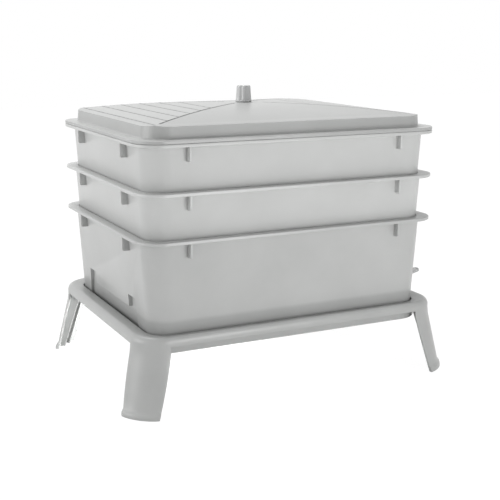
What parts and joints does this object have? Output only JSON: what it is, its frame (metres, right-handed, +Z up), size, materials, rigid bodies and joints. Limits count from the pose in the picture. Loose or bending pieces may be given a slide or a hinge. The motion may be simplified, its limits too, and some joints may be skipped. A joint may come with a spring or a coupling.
{
  "type": "wormery",
  "caption": "Stacking garden wormery: splayed stand, liquid collector with lever tap, nested trays with drilled floors, shallow pyramid lid with fluted knob",
  "frame": {"origin": "on the floor, under the middle of the outer box with the tap at rest", "axes": "+X along the long side towards the tap, +Y to the back, +Z up"},
  "size_m": [0.4516, 0.3294, 0.348],
  "materials": {
    "base_plastic": "satin",
    "tray_plastic": "satin",
    "lid_plastic": "satin",
    "knob_plastic": "satin",
    "tap_plastic": "satin",
    "seal_rubber": "matte",
    "fixing_steel": "brushed"
  },
  "bodies": {
    "stand": {"stand": "base_plastic"},
    "collector": {"collector": "base_plastic", "tap_body": "tap_plastic", "tap_gasket_outer": "seal_rubber", "tap_gasket_inner": "seal_rubber", "tap_nut": "tap_plastic"},
    "lower_tray": {"lower_tray": "tray_plastic"},
    "upper_tray": {"upper_tray": "tray_plastic"},
    "lid": {"lid": "lid_plastic", "lid_knob": "knob_plastic", "knob_washer": "fixing_steel", "knob_screw": "fixing_steel"},
    "tap_plug": {"tap_plug": "tap_plastic", "tap_o_ring": "seal_rubber"}
  },
  "joints": [
    {"name": "collector_lift", "type": "slide", "parent": "stand", "child": "collector", "axis": [0, 0, 1], "range_m": [0, 0.045]},
    {"name": "lower_tray_lift", "type": "slide", "parent": "collector", "child": "lower_tray", "axis": [0, 0, 1], "range_m": [0, 0.06]},
    {"name": "upper_tray_lift", "type": "slide", "parent": "lower_tray", "child": "upper_tray", "axis": [0, 0, 1], "range_m": [0, 0.06]},
    {"name": "lid_lift", "type": "slide", "parent": "upper_tray", "child": "lid", "axis": [0, 0, 1], "range_m": [0, 0.04]},
    {"name": "tap_turn", "type": "hinge", "parent": "collector", "child": "tap_plug", "pos_m": [0.20105, -0.048, 0.084], "axis": [0, 0, 1], "range_deg": [0, 90]}
  ]
}
